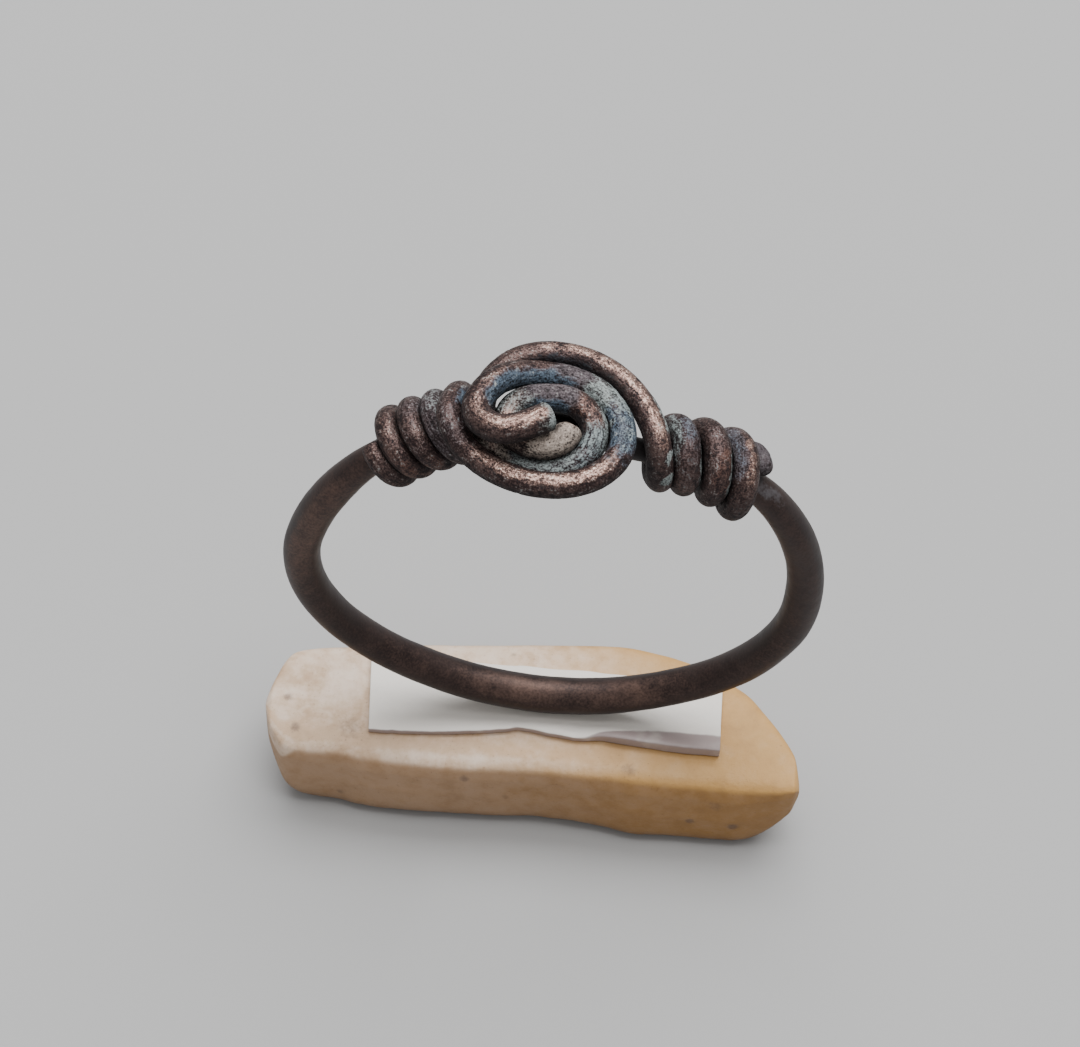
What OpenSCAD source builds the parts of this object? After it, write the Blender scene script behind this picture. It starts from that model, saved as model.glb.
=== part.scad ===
// Twisted wire ring, held upright by a strip of tape on a small slab of stone.
// X runs along the slab, +Y away from the viewer, +Z up; the slab's underside is z = 0.

/* [Hoop] */
// Radius of the hoop's centreline before its small dents, in mm
hoop_r = 10; // [8:0.05:12]
// Thickness of the shank wire at the sides, in mm
shank_d = 1.5; // [1:0.05:2.4]
// Cross sections around the hoop
shank_rings = 72; // [48:24:96]
// Sides of a shank section
shank_sides = 14; // [10:1:16]

/* [Wound wires] */
// Thickness of the wire in the swirl, in mm
swirl_d = 1; // [0.6:0.01:1.2]
// Thickness of the hook that ends the left wire, in mm
hook_d = 1.11; // [0.6:0.01:1.2]
// Thickness of the inner loop that ends the right wire, in mm
loop_d = 1.05; // [0.6:0.01:1.2]
// Thickness of the left wraps, in mm
left_wrap_d = 0.95; // [0.6:0.01:1.1]
// Thickness of the right wraps, in mm
right_wrap_d = 1.05; // [0.6:0.01:1.1]
// Thickness of the left wire's pinched outer end, in mm
left_end_d = 0.86; // [0.4:0.01:1.1]
// Thickness of the right wire's pinched outer end, in mm
right_end_d = 0.74; // [0.4:0.01:1.1]
// Air between a wrap and the core inside it, in mm
wrap_gap = 0.08; // [0.02:0.005:0.2]
// Sides of a wire section
wire_sides = 10; // [8:1:16]

/* [Swirl] */
// Middle of the swirl to the side of the hoop's middle, in mm
swirl_x = -0.75; // [-2:0.05:2]
// Middle of the swirl in front of the hoop's plane, in mm
swirl_y = -0.35; // [-2:0.05:2]
// Height above the hoop's middle of a strand that lies on the core, in mm
swirl_z = 11; // [10:0.05:12]

/* [Left wraps] */
// Hoop angle that the left wraps face, in degrees
left_mid = 121; // [100:1:140]
// Lean of a left turn along the hoop, in degrees
left_lean = 0.9; // [0:0.1:3]

/* [Right wraps] */
// Hoop angle that the right wraps face, in degrees
right_mid = 59; // [40:1:80]
// Lean of a right turn along the hoop, in degrees
right_lean = 1; // [0:0.05:3]

/* [Stand] */
// Height of the stone slab, in mm
stone_h = 4.4; // [2:0.1:8]
// Thickness of the tape, in mm
tape_h = 0.35; // [0.1:0.05:1]
// Air between the slab, the tape and the hoop, in mm
rest_gap = 0.02; // [0.01:0.01:0.1]

/* [Hidden] */

// Hoop every 15 degrees from +X: [angle, change of radius, shift away from viewer, change of wire radius]
HOOP = [
  [0, -0.10, 0.00, 0.00], [15, -0.07, 0.00, -0.03], [30, 0.09, 0.00, -0.075], [45, 0.22, 0.05, -0.17],
  [60, 0.10, 0.10, -0.28], [75, -0.24, -0.14, -0.3], [90, -0.12, 0.27, -0.22], [105, 0.15, 0.32, -0.22],
  [120, 0.14, 0.29, -0.22], [135, 0.07, 0.09, -0.165], [150, -0.06, 0.01, -0.05], [165, -0.05, 0.00, -0.01],
  [180, 0.09, 0.00, 0.00], [195, 0.10, 0.00, 0.00], [210, -0.01, 0.00, 0.00], [225, -0.14, 0.00, 0.00],
  [240, -0.20, 0.00, 0.02], [255, -0.12, 0.00, 0.03], [270, -0.03, 0.00, 0.03], [285, 0.00, 0.00, 0.02],
  [300, -0.03, 0.00, 0.00], [315, 0.06, 0.00, 0.00], [330, 0.07, 0.00, 0.00], [345, 0.03, 0.00, 0.00]];

// Left wraps, outer end first: [wrap angle, hoop angle]
LEFT_TURNS = [[80, 132.1], [450, 127.1], [810, 121.3], [1170, 115.6], [1410, 111.9]];

// Right wraps, inner end first; a turn leans most where it passes the front: [wrap angle, hoop angle]
RIGHT_TURNS = [
  [180, 68.1], [240, 67.3], [450, 66.3], [560, 61.9], [810, 59.2], [920, 55.2], [1170, 52.0],
  [1280, 48.9], [1500, 46.6]];

// Room for the right wire in its wraps: [wrap angle, thickness]
RIGHT_THICK = [[180, 1.03], [420, right_wrap_d], [1370, right_wrap_d], [1500, right_end_d]];

// Left wire from the last wrap inwards: [turn about the middle, distance from it, rise]
LEFT_SWIRL = [
  [156, 3.68, -0.68], [168, 3.68, -0.08], [178, 3.72, 0.15], [187, 3.66, 0.10], [198, 3.37, -0.20],
  [212, 3.00, -0.40], [235, 2.76, -0.27], [260, 2.68, -0.17], [285, 2.72, -0.15], [310, 2.88, -0.12],
  [335, 3.00, 0.00], [360, 2.77, 0.05], [385, 2.46, 0.02], [410, 2.25, 0.00], [435, 2.10, 0.05],
  [460, 2.05, 0.15], [485, 2.16, 0.43], [507, 2.28, 0.79], [525, 2.48, 0.92], [540, 2.68, 0.94],
  [552, 2.72, 0.97], [565, 2.50, 1.11], [578, 2.10, 1.19], [590, 1.40, 1.24], [605, 0.80, 1.21],
  [622, 0.55, 1.17]];

// Right wire from the first wrap inwards: [turn about the middle, distance from it, rise]
RIGHT_SWIRL = [
  [-10.5, 4.35, -1.80], [-10, 4.31, -1.30], [-8.5, 4.24, -0.85], [-4, 4.11, -0.40], [9, 3.80, -0.15],
  [30, 3.50, -0.10], [52, 3.28, -0.05], [74, 3.13, 0.00], [95, 3.09, 0.00], [114, 3.07, -0.05],
  [128, 3.02, -0.20], [142, 2.90, -0.25], [158, 2.70, -0.25], [176, 2.52, -0.32], [191, 2.34, -0.62],
  [210, 2.00, -0.85], [237, 1.76, -0.84], [267, 1.70, -0.76], [295, 1.75, -0.60], [322, 1.85, -0.32],
  [345, 1.79, -0.03], [367, 1.58, 0.15], [392, 1.29, 0.26], [420, 1.01, 0.35], [453, 0.88, 0.35],
  [485, 1.03, 0.31], [508, 1.32, 0.18], [527, 1.51, 0.07], [549, 1.58, 0.06], [571, 1.50, 0.06],
  [596, 1.32, 0.08], [622, 1.15, 0.10], [648, 1.10, 0.19], [672, 1.02, 0.31], [692, 0.94, 0.43]];

// Slab from the left end to the right: [x, front edge, back edge, height of the underside, lean of the front]
SLAB = [
  [-11.7, -1.2, -0.2, 3.6, 0], [-11.45, -1.9, 0.45, 2.8, 0], [-11.1, -2.5, 1.45, 1.9, 0],
  [-10.7, -2.95, 2.05, 1.0, 0], [-10, -3.1, 2.35, 0.3, 0], [-9.2, -3.1, 2.5, 0, 0],
  [-8.3, -3.15, 2.6, 0, 0.06], [-6.9, -3.4, 2.85, 0, 0.15], [-3.5, -3.4, 3.15, 0, 0.05],
  [0, -3.25, 3.5, 0, 0.05], [2.6, -3.4, 3.7, 0, 0.2], [4.2, -3.65, 3.6, 0, 0.45], [6.2, -3.6, 3.15, 0, 0.4],
  [8.4, -3.6, 2.05, 0, 0.35], [9.4, -3.4, 1.0, 0.2, 0.15], [10.2, -3.25, -0.1, 1.2, 0],
  [10.75, -3.1, -1.1, 2.2, 0], [11.05, -2.95, -2.3, 3.0, 0]];
// Slab's section from the underside up: [share of the height, inset of front and back, share of the lean]
SLAB_SIDE = [
  [0, 0.2, 0], [0.05, 0.1, 0], [0.18, 0.02, 0], [0.5, 0, 0.2], [0.8, 0.06, 0.6], [0.94, 0.16, 0.9],
  [1, 0.32, 1]];

// Tape from the left end to the right: [x, front edge, back edge]
TAPE = [
  [-7.45, -1.9, 1.8], [-5.9, -1.86, 1.85], [-3.8, -1.7, 1.8], [-1.7, -1.4, 1.75], [-0.9, -1.24, 1.8],
  [0.4, -1.4, 1.75], [1.7, -1.52, 1.8], [2.5, -1.4, 1.75], [3.4, -1.5, 1.75], [5.4, -1.65, 1.7],
  [7.55, -1.7, 1.7]];

tape_z = stone_h + rest_gap;
hoop_low = hoop_r + HOOP[18][1] + shank_d / 2 + HOOP[18][3];
hoop_z = tape_z + tape_h + rest_gap + hoop_low;

function unit(v) = v / norm(v);

// Smooth curve through four rows, between the second and the third
function between(a, b, c, d, t) =
  0.5 * (2 * b + (c - a) * t + (2 * a - 5 * b + 4 * c - d) * t * t + (3 * b - a - 3 * c + d) * t * t * t);

// Smooth curve through all rows of an open table, n steps to a row
function smoothed(r, n) = let (m = len(r) - 1) concat(
  [for (i = [0 : m - 1], k = [0 : n - 1]) between(
    i == 0 ? 2 * r[0] - r[1] : r[i - 1], r[i], r[i + 1],
    i == m - 1 ? 2 * r[m] - r[m - 1] : r[i + 2], k / n)], [r[m]]);

// The same curve with its sharpest bends eased, in a number of passes
function eased(p, passes) = passes == 0 ? p : let (m = len(p) - 1)
  eased([for (i = [0 : m]) i == 0 || i == m ? p[i] : (p[i - 1] + 2 * p[i] + p[i + 1]) / 4], passes - 1);

// Hoop's row at any angle
function hoop_row(a) = let (u = ((a % 360) + 360) % 360 / 15, i = floor(u), n = len(HOOP))
  between(HOOP[(i + n - 1) % n], HOOP[i % n], HOOP[(i + 1) % n], HOOP[(i + 2) % n], u - i);
function hoop_radius(a) = hoop_r + hoop_row(a)[1];
function hoop_shift(a) = hoop_row(a)[2];
function hoop_wire(a) = shank_d / 2 + hoop_row(a)[3];
function hoop_point(a) = [hoop_radius(a) * cos(a), hoop_shift(a), hoop_z + hoop_radius(a) * sin(a)];

// Point of a wire wound round the hoop; wrap angle 0 is the rim farthest back and up
function wrap_point(w, a, mid, d) = let (r = hoop_wire(a) + d / 2 + wrap_gap, p = w - 58)
  hoop_point(a) + r * [cos(mid) * cos(p), -sin(p), sin(mid) * cos(p)];
function left_wrap(w) = wrap_point(w, lookup(w, LEFT_TURNS) + left_lean * cos(w), left_mid, left_wrap_d);
function right_wrap(w) = wrap_point(w, lookup(w, RIGHT_TURNS) + right_lean * cos(w), right_mid,
  lookup(w, RIGHT_THICK));

// Point of the swirl from a row of its table
function swirl_point(row) =
  [swirl_x + row[1] * cos(row[0]), swirl_y + row[1] * sin(row[0]), hoop_z + swirl_z + row[2]];

left_turns = [for (w = [80 : 30 : 1400]) left_wrap(w)];
right_turns = [for (w = [1500 : -30 : 170]) right_wrap(w)];
left_path = eased(smoothed(concat(left_turns, [for (row = LEFT_SWIRL) swirl_point(row)]), 3), 2);
right_path = eased(smoothed(concat(right_turns, [for (row = RIGHT_SWIRL) swirl_point(row)]), 3), 2);

// Directions along a path, and side vectors carried along it without twist
function along(p) = let (n = len(p)) [for (i = [0 : n - 1]) unit(p[min(i + 1, n - 1)] - p[max(i - 1, 0)])];
function carried(t) = [for (i = 0, s = unit(cross(t[0], [0.2, 1, 0.1])); i < len(t);
  i = i + 1, s = i < len(t) ? unit(s - (s * t[i]) * t[i]) : s) s];

// Closed skin over rings of points, all with n points; loop joins the last ring to the first
module skin(rings, n, loop = false) {
  m = len(rings);
  sides = [for (i = [0 : m - (loop ? 1 : 2)], k = [0 : n - 1])
    let (a = i * n, b = ((i + 1) % m) * n, j = (k + 1) % n) [a + k, b + k, b + j, a + j]];
  ends = loop ? [] : [[for (k = [0 : n - 1]) k], [for (k = [n - 1 : -1 : 0]) (m - 1) * n + k]];
  polyhedron(points = [for (r = rings) each r], faces = concat(sides, ends), convexity = 12);
}

// Round wire along a path with bevelled ends; thick lists [index, radius]
module wire(path, thick, bevel = 0.12) {
  n = len(path);
  full = concat([path[0] - bevel * unit(path[1] - path[0])], path,
    [path[n - 1] + bevel * unit(path[n - 1] - path[n - 2])]);
  t = along(full);
  s = carried(t);
  skin([for (i = [0 : n + 1]) let (r = lookup(i, thick) * (i == 0 || i == n + 1 ? 0.78 : 1))
    [for (k = [0 : wire_sides - 1]) let (a = 360 * k / wire_sides)
      full[i] + r * (cos(a) * s[i] + sin(a) * cross(t[i], s[i]))]], wire_sides);
}

module shank() color([0.27, 0.2, 0.17]) skin([for (i = [0 : shank_rings - 1]) let (a = 360 * i / shank_rings)
  [for (k = [0 : shank_sides - 1]) let (b = 360 * k / shank_sides, r = hoop_wire(a))
    hoop_point(a) + r * [cos(b) * cos(a), sin(b), cos(b) * sin(a)]]], shank_sides, true);

module left_wire() color([0.42, 0.3, 0.26]) {
  turns = 3 * len(left_turns);
  wire(left_path,
    [[0, left_end_d / 2], [8, left_wrap_d / 2], [turns, left_wrap_d / 2], [turns + 9, swirl_d / 2],
      [turns + 45, swirl_d / 2], [turns + 55, hook_d / 2]]);
}

module right_wire() color([0.36, 0.33, 0.33]) {
  turns = 3 * len(right_turns);
  wire(right_path,
    [[0, right_end_d / 2], [13, right_wrap_d / 2], [turns, right_wrap_d / 2], [turns + 9, swirl_d / 2],
      [turns + 57, swirl_d / 2], [turns + 66, loop_d / 2], [turns + 70, loop_d / 2],
      [turns + 77, swirl_d / 2], [turns + 91, swirl_d / 2], [turns + 99, loop_d / 2]]);
}

module mounting_tape() color([0.9, 0.9, 0.9]) translate([0, 0, tape_z]) linear_extrude(tape_h)
  polygon(concat([for (row = TAPE) [row[0], row[1]]],
    [for (i = [len(TAPE) - 1 : -1 : 0]) [TAPE[i][0], TAPE[i][2]]]));

module stone_stand() color([0.76, 0.66, 0.52]) {
  up = len(SLAB_SIDE);
  skin([for (row = SLAB)
    let (half = (row[2] - row[1]) / 2, mid = (row[2] + row[1]) / 2, part = min(1, half / 1.2))
    [for (k = [0 : 2 * up - 1])
      let (s = SLAB_SIDE[min(k, 2 * up - 1 - k)], y = half - part * s[1])
      [row[0], k < up ? mid + y : mid - y + s[2] * row[4], row[3] + s[0] * (stone_h - row[3])]]],
    2 * up);
}

shank();
left_wire();
right_wire();
mounting_tape();
stone_stand();
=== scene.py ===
"""Dresses a twisted wire ring that stands upright on a small slab of stone.

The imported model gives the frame: +X runs along the slab, +Y away from the viewer and +Z up. Sizes here
are in millimetres, as in the part's source, and are turned into metres when a mesh is written.
"""

import itertools
import logging
import math
from dataclasses import dataclass, field
from enum import Enum
from typing import TypeAlias

import bpy
import numpy as np
from mathutils import Matrix, Vector


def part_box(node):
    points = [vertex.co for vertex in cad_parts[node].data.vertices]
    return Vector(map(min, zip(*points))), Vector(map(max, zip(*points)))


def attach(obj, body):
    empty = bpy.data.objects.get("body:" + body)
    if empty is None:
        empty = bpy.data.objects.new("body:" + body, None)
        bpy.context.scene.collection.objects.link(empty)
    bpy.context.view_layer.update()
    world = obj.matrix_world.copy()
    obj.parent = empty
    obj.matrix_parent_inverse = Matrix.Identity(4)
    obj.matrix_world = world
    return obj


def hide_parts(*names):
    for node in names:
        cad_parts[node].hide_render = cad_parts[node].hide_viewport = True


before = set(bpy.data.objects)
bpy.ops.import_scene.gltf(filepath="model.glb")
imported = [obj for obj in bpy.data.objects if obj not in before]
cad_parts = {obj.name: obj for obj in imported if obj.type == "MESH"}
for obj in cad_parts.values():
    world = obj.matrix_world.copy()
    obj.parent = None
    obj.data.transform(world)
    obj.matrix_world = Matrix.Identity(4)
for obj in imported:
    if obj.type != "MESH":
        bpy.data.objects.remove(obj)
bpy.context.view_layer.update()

MM = 0.001
Array = np.ndarray
Colour = tuple[float, float, float, float]
Number: TypeAlias = "float | Value"
log = logging.getLogger("ring")


class Film(Enum):
    """What lies on the metal, how it is worn there, or painted light on it. Each becomes a mask on the mesh.
    """

    # Rubbed copper together with painted highlight and sheen on the lit side
    RUBBED_AND_HIGHLIGHT = "rubbed_and_highlight"
    DULL = "dull"
    RED = "red"
    GREY = "grey"
    BLUE = "blue"
    VERDIGRIS = "verdigris"
    DUST = "dust"
    # Soot together with painted shade under things, at edges and where surfaces meet
    SOOT_AND_SHADE = "soot_and_shade"


class Stretch(Enum):
    """The stretches of wire that films lie on, and what an angle along each one means."""

    WRAPS = "wrap angle round the hoop"
    SWIRL = "turn about the swirl's middle"
    HOOP = "angle round the hoop's middle"


# In degrees along a stretch: how far a patch of film fades at each end, and how far its borders wander
FADES = {Stretch.WRAPS: 40, Stretch.SWIRL: 16, Stretch.HOOP: 8}
WANDERS = {Stretch.WRAPS: 100, Stretch.SWIRL: 50, Stretch.HOOP: 100}
# How far they wander round the wire, in degrees
SIDE_WANDER = 55


def unit(vectors: Array) -> Array:
    """Scales each vector to length one."""
    return vectors / np.linalg.norm(vectors, axis=-1, keepdims=True)


def step(values: Array, low: float, high: float) -> Array:
    """Rises smoothly from 0 at low to 1 at high, by 3t^2 - 2t^3."""
    t = np.clip((values - low) / (high - low), 0, 1)
    return t * t * (3 - 2 * t)


def between(a: Array, b: Array, c: Array, d: Array, t: Array) -> Array:
    """Passes a cubic through four rows and gives its points between the second and the third.

    Args:
        a, b, c, d: Four rows in order.
        t: Share of the way from b to c.

    Returns:
        The curve's points: at b it runs along c - a, and at c along d - b.
    """
    return 0.5 * (2 * b + (c - a) * t + (2 * a - 5 * b + 4 * c - d) * t**2 + (3 * b - a - 3 * c + d) * t**3)


def smoothed(rows: Array, steps: int) -> Array:
    """Draws the same cubic through every row of an open table.

    Args:
        rows: Table with a row for each point and any number of columns.
        steps: Points from one row to the next.

    Returns:
        Table of the curve's points, with the same columns.
    """
    padded = np.vstack([2 * rows[0] - rows[1], rows, 2 * rows[-1] - rows[-2]])
    a, b, c, d = (padded[k:k + len(rows) - 1, None] for k in range(4))
    curve = between(a, b, c, d, np.arange(steps)[None, :, None] / steps)
    return np.vstack([curve.reshape(-1, rows.shape[1]), rows[-1]])


def eased(rows: Array, passes: int) -> Array:
    """Eases the sharpest bends: each pass moves a point to (before + 2 x itself + after) / 4.

    Args:
        rows: Table of points in order.
        passes: How many times it is done.

    Returns:
        The table with its points moved. The first and the last stay.
    """
    for _ in range(passes):
        rows = np.vstack([rows[0], (rows[:-2] + 2 * rows[1:-1] + rows[2:]) / 4, rows[-1]])
    return rows


def hashed(cells: Array, seed: int) -> Array:
    """Turns whole-number lattice cells into random numbers from 0 to 1, the same on every run.

    Args:
        cells: Whole numbers, three to a cell.
        seed: Picks another set of numbers.

    Returns:
        One number for each cell.
    """
    mixed = (cells * np.array([73856093, 19349663, 83492791])).sum(-1) + seed * 2654435761 & 0xFFFFFFFF
    for _ in range(2):
        mixed = (mixed >> 16 ^ mixed) * 0x45D9F3B & 0xFFFFFFFF
    return (mixed >> 16 ^ mixed) / 0xFFFFFFFF


def cloudy(points: Array, size: float, seed: int, octaves: int = 3) -> Array:
    """Gives a soft random field from 0 to 1.

    Random numbers sit on a lattice, the field blends the eight round each place by 3t^2 - 2t^3, and
    each further octave adds half as much at half the size.

    Args:
        points: Places in millimetres.
        size: Distance between the first octave's lattice points.
        seed: Picks another field.
        octaves: How many sizes are added.

    Returns:
        The field's value at each point.
    """
    total, weight = 0.0, 0.0
    for octave in range(octaves):
        scaled = points * (2**octave / size) + 17.3 * octave
        cell = np.floor(scaled).astype(np.int64)
        t = scaled - cell
        t = t * t * (3 - 2 * t)
        for corner in itertools.product((0, 1), repeat=3):
            share = np.where(corner, t, 1 - t).prod(-1)
            total = total + 0.5**octave * share * hashed(cell + corner, seed + octave)
        weight += 0.5**octave
    return total / weight


def speckled(points: Array, size: float, seed: int, share: float = 1.0) -> Array:
    """Gives scattered round spots: 1 at the middle of a spot, 0 at its rim and beyond.

    Each lattice cell holds one spot at a random place with a random radius of up to half the cell.

    Args:
        points: Places in millimetres.
        size: Size of a cell.
        seed: Picks other spots.
        share: Share of the cells that hold a spot.

    Returns:
        How deep each point lies in the nearest spot.
    """
    scaled = points / size
    home = np.floor(scaled).astype(np.int64)
    deepest = np.zeros(points.shape[:-1])
    for corner in itertools.product((-1, 0, 1), repeat=3):
        cell = home + corner
        spot = cell + np.stack([hashed(cell, seed + k) for k in (1, 2, 3)], -1)
        radius = (0.25 + 0.3 * hashed(cell, seed + 4)) * (hashed(cell, seed + 5) < share) + 1e-9
        deepest = np.maximum(deepest, 1 - np.linalg.norm(scaled - spot, axis=-1) / radius)
    return deepest


def rounded_box(across_power: float, high_power: float, shape: float, sides: int,
                samples: int = 40001) -> tuple[Array, Array]:
    """Gives the section of a rounded box that reaches from -1 to 1 both ways.

    The points are across = cos(t)^p and high = sin(t)^q, with the signs kept. Even steps of t crowd at the
    corners, so t is chosen by twice the length of outline and once the angle.

    Args:
        across_power: The power p.
        high_power: The power q.
        shape: The box's width over its height.
        sides: How many points are given.
        samples: How many values of t the outline's length is measured with.

    Returns:
        The points' places across and high, from the middle of the underside.
    """
    t = np.linspace(-np.pi / 2, 3 * np.pi / 2, samples)
    across = np.sign(np.cos(t)) * np.abs(np.cos(t)) ** across_power
    high = np.sign(np.sin(t)) * np.abs(np.sin(t)) ** high_power
    length = np.append(0, np.cumsum(np.hypot(shape * np.diff(across), np.diff(high))))
    reach = 2 * length / length[-1] + np.linspace(0, 1, len(t))
    even = np.linspace(0, 3, sides, endpoint=False)
    return np.interp(even, reach, across), np.interp(even, reach, high)


def carried(tangents: Array) -> Array:
    """Carries a side vector along a path without twist.

    Args:
        tangents: Unit directions of the path, station by station.

    Returns:
        Unit side vectors: each is the one before it with its part along the path taken away.
    """
    sides = [unit(np.cross(tangents[0], (0.2, 1.0, 0.1)))]
    for tangent in tangents[1:]:
        sides.append(unit(sides[-1] - sides[-1] @ tangent * tangent))
    return np.array(sides)


def write_piece(name: str, points: Array, faces: list[Array], masks: dict[str, Array]) -> bpy.types.Object:
    """Puts a finished surface into a new object at the origin.

    Args:
        name: Name of the piece.
        points: Its points in millimetres.
        faces: Tables of point numbers, each with one face to a row.
        masks: Values for each point, kept as attributes that the finish reads.

    Returns:
        The new object, shaded smooth.
    """
    mesh = bpy.data.meshes.new(name)
    corners = np.concatenate([table.ravel() for table in faces])
    sizes = np.concatenate([np.full(len(table), table.shape[1]) for table in faces])
    mesh.vertices.add(len(points))
    mesh.vertices.foreach_set("co", (points * MM).astype(np.float32).ravel())
    mesh.loops.add(len(corners))
    mesh.loops.foreach_set("vertex_index", corners.astype(np.int32))
    mesh.polygons.add(len(sizes))
    mesh.polygons.foreach_set("loop_start", (np.cumsum(sizes) - sizes).astype(np.int32))
    mesh.polygons.foreach_set("use_smooth", np.ones(len(sizes), bool))
    mesh.update(calc_edges=True)
    for mask, values in masks.items():
        attribute = mesh.attributes.new(mask, "FLOAT", "POINT")
        attribute.data.foreach_set("value", values.astype(np.float32).ravel())
    piece = bpy.data.objects.new(name, mesh)
    bpy.context.scene.collection.objects.link(piece)
    return piece


def skin(name: str, rings: Array, masks: dict[str, Array], loop: bool = False) -> bpy.types.Object:
    """Closes a surface over rings of points, station by station.

    Args:
        name: Name of the piece.
        rings: Points by station and by place in the ring, which runs right-handed about the path.
        masks: Values by station and by place in the ring.
        loop: Whether the last ring joins the first. Otherwise a fan closes each end at its middle.

    Returns:
        The new object.
    """
    stations, sides = rings.shape[:2]
    i, k = np.meshgrid(np.arange(stations if loop else stations - 1), np.arange(sides), indexing="ij")
    a, b, j = i * sides, (i + 1) % stations * sides, (k + 1) % sides
    faces = [np.stack([a + k, a + j, b + j, b + k], -1).reshape(-1, 4)]
    points = rings.reshape(-1, 3)
    values = {mask: value.reshape(-1) for mask, value in masks.items()}
    if not loop:
        first, last, ring = stations * sides, (stations - 1) * sides, np.arange(sides)
        points = np.vstack([points, rings[0].mean(0), rings[-1].mean(0)])
        for mask, value in values.items():
            values[mask] = np.append(value, [value[:sides].mean(), value[last:].mean()])
        faces.append(np.stack([np.full(sides, first), (ring + 1) % sides, ring], -1))
        faces.append(np.stack([np.full(sides, first + 1), last + ring, last + (ring + 1) % sides], -1))
    return write_piece(name, points, faces, values)


@dataclass(frozen=True)
class Patch:
    """A patch of film along a stretch of wire, on the side that faces one way.

    Facing is in degrees round the wire: 0 is up or away from the core, 90 is away from the swirl's
    middle or towards the swirl, and on the hoop it is to the back.
    """

    film: Film
    stretch: Stretch
    start: float
    end: float
    facing: float
    spread: float
    strength: float = 1.0
    # Half the stretch over which it fades at each end, where 0 takes the stretch's own
    fade: float = 0.0

    def cover(self, along: Array, facing: Array) -> Array:
        """Works out the patch's mask: full over its stretch and side, fading at its borders.

        Args:
            along: Angle along the stretch, by station and by place in the ring.
            facing: Side that each point faces, in the same order.

        Returns:
            The mask by station and by place in the ring.
        """
        fade = self.fade or FADES[self.stretch]
        begun, gone = (step(along, end - fade, end + fade) for end in (self.start, self.end))
        off = np.abs((facing - self.facing + 180) % 360 - 180)
        side = 1 - step(off, 0.4 * self.spread, 1.1 * self.spread)
        return self.strength * (begun * (1 - gone)) * side


def film_patches(stretch: Stretch, rows: dict[Film, list[tuple[float, ...]]]) -> tuple[Patch, ...]:
    """Turns tables into patches.

    Args:
        stretch: The stretch that they lie on.
        rows: For each film, rows of start, end, facing, spread and strength, and of fade where it isn't
            the stretch's own.

    Returns:
        The patches, one for each row.
    """
    return tuple(Patch(film, stretch, *row) for film, table in rows.items() for row in table)


@dataclass(frozen=True)
class Strand:
    """A round wire as its centreline, for finding what lies close to a surface."""

    points: Array
    radii: Array
    arc: Array

    def room(self, places: Array, arc: Array | None = None, skip: float = 1.4, batch: int = 6000) -> Array:
        """Measures how far each place is from this wire's surface.

        Args:
            places: Points in millimetres.
            arc: Their lengths along this same wire, if they lie on it.
            skip: Length of wire to each side that is left out then.
            batch: About how many places are measured at a time.

        Returns:
            The distance to the nearest surface, negative inside it.
        """
        nearest = []
        for block in np.array_split(np.arange(len(places)), max(1, len(places) // batch)):
            square = (places[block] ** 2).sum(-1)[:, None] + (self.points**2).sum(-1)
            reach = np.sqrt(np.maximum(square - 2 * places[block] @ self.points.T, 0)) - self.radii
            if arc is not None:
                reach[np.abs(arc[block][:, None] - self.arc) < skip] = np.inf
            nearest.append(reach.min(1))
        return np.concatenate(nearest)


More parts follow.
